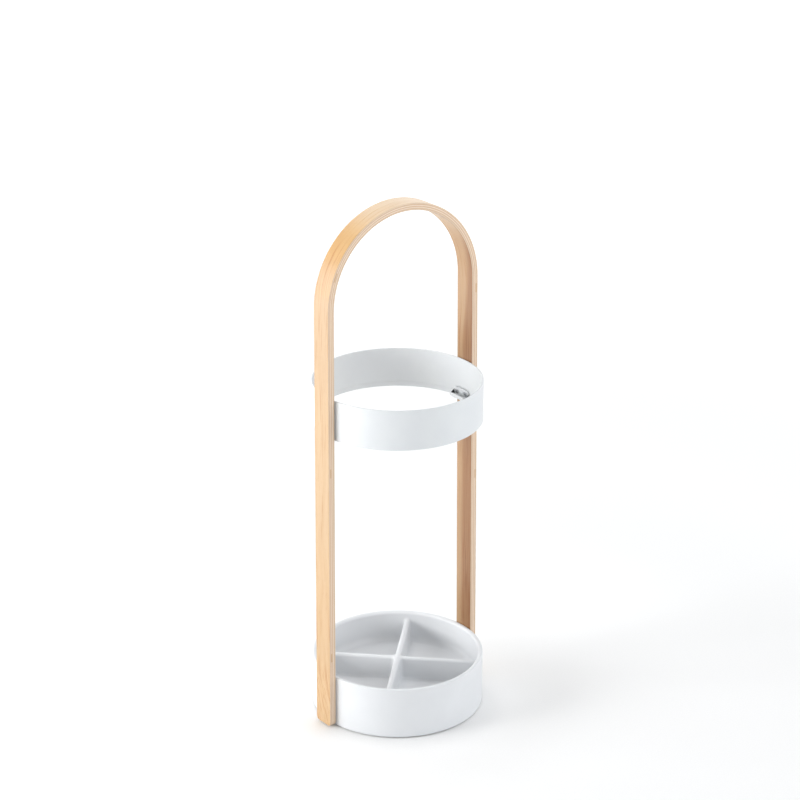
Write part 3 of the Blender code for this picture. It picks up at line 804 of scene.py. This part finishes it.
def rib_field(p, across, along):
    """One bar of the divider: drafted sides and a full round top."""
    crown = DIVIDER_TOP - DIVIDER_HALF
    drop = np.maximum(crown - p[..., 2], 0)
    side = np.abs(across) - DIVIDER_HALF - drop * DIVIDER_DRAFT
    top = np.hypot(across, np.maximum(p[..., 2] - crown, 0)) - DIVIDER_HALF
    rib = np.where(p[..., 2] > crown, top, side)
    return np.maximum(rib, np.abs(along) - DIVIDER_REACH)


def cavity_field(p):
    """Hollow under the tray's floor, less the screw bosses and the pads behind the legs."""
    x, y, z = np.abs(p[..., 0]), np.abs(p[..., 1]), p[..., 2]
    radius = np.hypot(x, y)
    hollow = np.maximum(radius - CAVITY_RADIUS, z - (TRAY_FLOOR - TRAY_FLOOR_THICKNESS))
    place = COVER_BOSS_CIRCLE * math.sqrt(0.5)
    middle_boss = np.maximum(radius - BALLAST_BOSS_RADIUS, BALLAST_BOSS_BOTTOM - z)
    cover_boss = np.maximum(np.hypot(x - place, y - place) - COVER_BOSS_RADIUS, COVER_BOSS_BOTTOM - z)
    pad_low, pad_high = SCREW_PAD_HEIGHTS
    pad = np.maximum(SCREW_PAD_FACE - x, y - SCREW_PAD_HALF)
    pad = np.maximum(pad, np.maximum(pad_low - z, z - pad_high))
    return np.maximum(hollow, -np.minimum(np.minimum(middle_boss, cover_boss), pad))


def tray_field(p, base, leg_face):
    """Signed distance, negative inside the tray base's moulding."""
    x, y, z = p[..., 0], p[..., 1], p[..., 2]
    radius = np.hypot(x, y)
    low, high = base
    outer = high.y
    inner = outer - TRAY_WALL - TRAY_DRAFT * (high.z - z) / (high.z - TRAY_FLOOR)
    body = round_and(radius - outer, z - high.z, RIM_OUTER)
    body = round_and(body, low.z - z, BASE_EDGE)
    recess = round_and(radius - inner, TRAY_FLOOR - z, TRAY_FILLET)
    body = round_and(body, -recess, RIM_INNER)
    diagonal = math.sqrt(0.5)
    bar_1 = rib_field(p, (x - y) * diagonal, (x + y) * diagonal)
    bar_2 = rib_field(p, (x + y) * diagonal, (x - y) * diagonal)
    cross = round_or(bar_1, bar_2, CROSSING_FILLET)
    cross = np.maximum(cross, TRAY_FLOOR - DIVIDER_SUNK - z)
    cross = np.maximum(cross, radius - outer + DIVIDER_INSET)
    body = round_or(body, cross, DIVIDER_FILLET)
    body = np.maximum(body, -cavity_field(p))
    return np.maximum(body, np.abs(x) - leg_face(z))


def net_quads(sign, number):
    """One quad for each grid edge that crosses the surface, between the four cells around that edge."""
    quads = []
    for axis in range(3):
        # Lower and upper ends of the grid edges along this axis, away from the grid's border
        others = [n for n in range(3) if n != axis]
        lower = [slice(None)] * 3
        upper = [slice(None)] * 3
        lower[axis], upper[axis] = slice(None, -1), slice(1, None)
        for n in others:
            lower[n] = upper[n] = slice(1, -1)
        change = sign[tuple(lower)] != sign[tuple(upper)]
        start = np.argwhere(change)
        outward = sign[tuple(lower)][change]
        for n in others:
            start[:, n] += 1
        ring = []
        for du, dv in ((0, 0), (1, 0), (1, 1), (0, 1)):
            cell = start.copy()
            cell[:, others[0]] -= du
            cell[:, others[1]] -= dv
            ring.append(number[cell[:, 0], cell[:, 1], cell[:, 2]])
        ring = np.stack(ring, axis=1)
        # The four cells run the other way round for the Y axis
        turned = outward if axis == 1 else ~outward
        ring[turned] = ring[turned][:, ::-1]
        quads.append(ring)
    return np.concatenate(quads)


def surface_net(field, xs, ys, zs):
    """Vertices and quads near the zero surface of a field, with one vertex in each cell that it crosses.

    A cell's vertex is the mean of the points where its edges cross the surface.
    """
    grid = np.stack(np.meshgrid(xs, ys, zs, indexing="ij"), axis=-1)
    value = field(grid)
    sign = value < 0
    corners = [(i, j, k) for i in (0, 1) for j in (0, 1) for k in (0, 1)]
    shape = tuple(n - 1 for n in sign.shape)

    def cut(array, i, j, k):
        return array[i : i + shape[0], j : j + shape[1], k : k + shape[2]]

    filled = sum(cut(sign, *c).astype(int) for c in corners)
    mixed = (filled > 0) & (filled < 8)
    number = np.full(shape, -1)
    number[mixed] = np.arange(mixed.sum())
    total = np.zeros((mixed.sum(), 3))
    crossings = np.zeros(mixed.sum())
    for a in corners:
        for axis in range(3):
            if a[axis]:
                continue
            b = tuple(v + (n == axis) for n, v in enumerate(a))
            va, vb = cut(value, *a)[mixed], cut(value, *b)[mixed]
            pa, pb = cut(grid, *a)[mixed], cut(grid, *b)[mixed]
            change = (va < 0) != (vb < 0)
            share = np.where(change, va / np.where(change, va - vb, 1), 0)[:, None]
            total += np.where(change[:, None], pa + (pb - pa) * share, 0)
            crossings += change
    return total / crossings[:, None], net_quads(sign, number)


def gradient(field, points):
    """The field's slope at points, by central differences."""
    step = 0.00002
    parts = []
    for axis in range(3):
        offset = np.zeros(3)
        offset[axis] = step
        parts.append((field(points + offset) - field(points - offset)) / (2 * step))
    return np.stack(parts, axis=-1)


def settle(field, points):
    """Moves points onto the field's zero surface in a few short steps."""
    longest = 0.0008
    for _ in range(6):
        slope = gradient(field, points)
        size = np.maximum((slope**2).sum(-1, keepdims=True), 1e-6)
        move = field(points)[:, None] * slope / size
        length = np.maximum(np.linalg.norm(move, axis=1, keepdims=True), 1e-9)
        points = points - move * np.minimum(1, longest / length)
    return points


def spaced(*stops):
    """Levels through (height, pitch) stops, with each pitch used up to the next height."""
    levels = []
    for (start, pitch), (end, _) in zip(stops, stops[1:]):
        count = max(1, round((end - start) / pitch))
        levels.extend(np.linspace(start, end, count, endpoint=False))
    return np.array(levels + [stops[-1][0]])


def make_tray(material):
    """The tray's moulding as one smooth surface, with flats on its wall where the legs pass."""
    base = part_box("tray_base")
    arch_low, arch_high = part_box("bentwood_arch")
    splay = (arch_high.x - ARCH_RADIUS) / (arch_high.z - ARCH_RADIUS - arch_low.z)

    def leg_face(z):
        return arch_high.x - STRAP_THICKNESS - splay * (z - arch_low.z) - GAP

    def field(p):
        return tray_field(p, base, leg_face)

    low, high = base
    reach = high.y + TRAY_MARGIN
    side = np.linspace(-reach, reach, round(2 * reach / TRAY_PITCH) + 1)
    # Levels are close together at the foot, the floor, the divider's crown and the rim
    levels = spaced(
        (low.z - 0.0007, 0.0007), (low.z + 0.0021, 0.0025), (0.0235, 0.0012), (0.036, 0.0026),
        (0.052, 0.0009), (0.058, 0.0016), (high.z - 0.0045, 0.0008), (high.z + 0.0011, 1),
    )
    vertices, quads = surface_net(field, side, side, levels)
    vertices = settle(field, vertices)
    faces = [tuple(int(i) for i in quad) for quad in quads]
    tray = new_object("tray_base_moulded", vertices, faces, material)
    tray.data.shade_smooth()
    normals = gradient(field, vertices)
    normals /= np.linalg.norm(normals, axis=1, keepdims=True)
    tray.data.normals_split_custom_set_from_vertices(normals)
    stand_for(tray, "white_moulding", "tray_base")


# ---------------------------------------------------------------- studio


def make_floor():
    """A pale floor that gives off some light away from the stand, so that it stays white to the horizon."""
    s = Shader("studio_floor")
    place = s.place()
    tooth = s.noise(s.stretch(place, MM, MM, MM), scale=0.5, detail=2.0)
    far = s.node("ShaderNodeVectorMath", output="Value", settings={"operation": "LENGTH"}, i0=place)
    far_glow = s.ramp(far, *FAR_GLOW_REACH, 0.0, FAR_GLOW)
    near_glow = s.ramp(far, *NEAR_GLOW_REACH, 0.0, NEAR_GLOW)
    s.set(Base_Color=s.mix(s.ramp(tooth, 0.3, 0.7), *FLOOR_COLOURS), Roughness=0.9)
    s.set(Emission_Color=(1.0, 1.0, 1.0), Emission_Strength=s.math("ADD", far_glow, near_glow))
    corners = [(-FLOOR, -FLOOR, 0), (FLOOR, -FLOOR, 0), (FLOOR, FLOOR, 0), (-FLOOR, FLOOR, 0)]
    new_object("studio_floor", corners, [(0, 1, 2, 3)], s.material)


def softbox(name, azimuth, elevation, size, distance, power):
    """A square area light seen from the stand's middle at an azimuth and elevation in degrees."""
    lamp = bpy.data.lights.new(name, "AREA")
    lamp.size = size
    lamp.energy = power
    box = bpy.data.objects.new(name, lamp)
    box.visible_camera = False
    bpy.context.scene.collection.objects.link(box)
    a, e = math.radians(azimuth), math.radians(elevation)
    direction = Vector((math.cos(a) * math.cos(e), math.sin(a) * math.cos(e), math.sin(e)))
    box.location = Vector(LIGHT_TARGET) + distance * direction
    box.rotation_euler = (-direction).to_track_quat("-Z", "Y").to_euler()


def make_surroundings():
    """Soft light from all round, with its strength set by the direction it comes from."""
    world = bpy.data.worlds.new("studio")
    world.use_nodes = True
    bpy.context.scene.world = world
    n = Nodes(world.node_tree)
    x, y, z = n.split(n.node("ShaderNodeTexCoord", output="Generated"))
    facing = {
        "right": n.math("MULTIPLY", x, n.math("MAXIMUM", x, 0.0)),
        "back": n.math("MULTIPLY", y, n.math("MAXIMUM", y, 0.0)),
        "front": n.math("MULTIPLY", y, n.math("MINIMUM", y, 0.0)),
    }
    overhead = n.ramp(z, *OVERHEAD_HEIGHTS)
    low = n.math("SUBTRACT", 1.0, overhead)
    total = 0.0
    for levels, band in ((WORLD_LOW, low), (WORLD_OVERHEAD, overhead)):
        for side, level in levels.items():
            total = n.math("ADD", total, n.math("MULTIPLY", n.math("MULTIPLY", facing[side], level), band))
    # Each side's share is the square of its part of the direction, over the horizontal parts together
    horizontal = n.math("ADD", n.math("MULTIPLY", x, x), n.math("MULTIPLY", y, y))
    strength = n.math("DIVIDE", total, n.math("MAXIMUM", horizontal, 0.0001))
    background = world.node_tree.nodes["Background"]
    n.link(WORLD_TINT, background.inputs["Color"])
    n.link(strength, background.inputs["Strength"])


def make_studio():
    """Plain floor, surroundings and soft lights, shown without a film look."""
    bpy.context.scene.view_settings.view_transform = "Standard"
    make_surroundings()
    make_floor()
    for name, light in LIGHTS.items():
        softbox(name, *light)


def make_camera():
    """Looks down at the stand from the front, at the left."""
    right = Vector((math.cos(CAMERA_AZIMUTH), math.sin(CAMERA_AZIMUTH), 0))
    front = Vector((math.sin(CAMERA_AZIMUTH), -math.cos(CAMERA_AZIMUTH), 0))
    back = front * math.cos(CAMERA_ELEVATION) + Vector((0, 0, math.sin(CAMERA_ELEVATION)))
    target = Vector((0, 0, cad_box[1].z * TARGET_SHARE)) + right * TARGET_SHIFT
    lens = bpy.data.cameras.new("camera")
    lens.sensor_width = CAMERA_SENSOR
    lens.lens = CAMERA_LENS
    camera = bpy.data.objects.new("camera", lens)
    camera.location = target + back * CAMERA_DISTANCE
    camera.rotation_mode = "QUATERNION"
    camera.rotation_quaternion = (-back).to_track_quat("-Z", "Y")
    bpy.context.scene.collection.objects.link(camera)
    bpy.context.scene.camera = camera


def main():
    make_camera()
    materials = finishes()
    make_arch(materials["birch_plywood"])
    make_ring(materials["white_powder_coat"])
    make_hook("hook_right", 1, materials["white_powder_coat"])
    make_hook("hook_left", -1, materials["white_powder_coat"])
    make_tray(materials["white_moulding"])
    slots = {part["node"]: part["material_slot"] for part in frame["record"]["subparts"]}
    for name, node in frame["nodes"].items():
        node.data.materials.clear()
        node.data.materials.append(materials[slots[name]])
    make_studio()


main()
